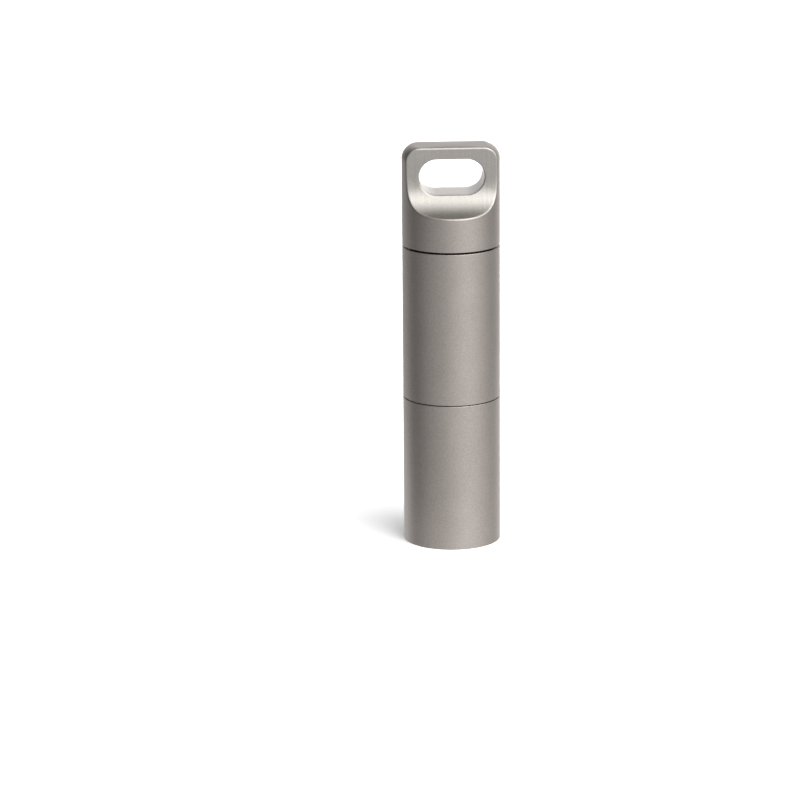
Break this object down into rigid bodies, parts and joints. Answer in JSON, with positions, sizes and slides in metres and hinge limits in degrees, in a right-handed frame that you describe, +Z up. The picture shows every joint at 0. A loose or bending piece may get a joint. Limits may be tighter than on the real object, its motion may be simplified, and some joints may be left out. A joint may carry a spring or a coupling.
{
  "type": "pill fob keychain",
  "caption": "Cylindrical two-compartment metal pill capsule: three screw-together sections with sealing rings and a flat slotted loop on top for a key ring.",
  "frame": {"origin": "centre of the flat base of the lower chamber", "axes": "+Z up the capsule's axis to the loop; the loop's two milled flats face +Y and -Y, and its slot is wide along X"},
  "size_m": [0.0144, 0.0144, 0.0602],
  "materials": {
    "blasted_titanium": "bead-blasted titanium, warm grey, fine matt grain",
    "black_rubber": "smooth black nitrile rubber"
  },
  "bodies": {
    "lower_chamber": {"lower_chamber": "blasted_titanium"},
    "chamber_o_ring": {"chamber_o_ring": "black_rubber"},
    "upper_chamber": {"upper_chamber": "blasted_titanium"},
    "cap_o_ring": {"cap_o_ring": "black_rubber"},
    "cap": {"cap": "blasted_titanium"}
  },
  "joints": [
    {"name": "chamber_lift", "type": "slide", "parent": "lower_chamber", "child": "chamber_o_ring", "axis": [0, 0, 1], "range_m": [0, 0.0065]},
    {"name": "chamber_turn", "type": "hinge", "parent": "chamber_o_ring", "child": "upper_chamber", "pos_m": [0, 0, 0.02225], "axis": [0, 0, 1], "range_deg": [0, 2340]},
    {"name": "cap_lift", "type": "slide", "parent": "upper_chamber", "child": "cap_o_ring", "axis": [0, 0, 1], "range_m": [0, 0.0065]},
    {"name": "cap_turn", "type": "hinge", "parent": "cap_o_ring", "child": "cap", "pos_m": [0, 0, 0.0454], "axis": [0, 0, 1], "range_deg": [0, 2340]}
  ],
  "couplings": [
    {"joint": "chamber_lift", "follows": "chamber_turn", "m_per_rad": 0.00015915},
    {"joint": "cap_lift", "follows": "cap_turn", "m_per_rad": 0.00015915}
  ]
}
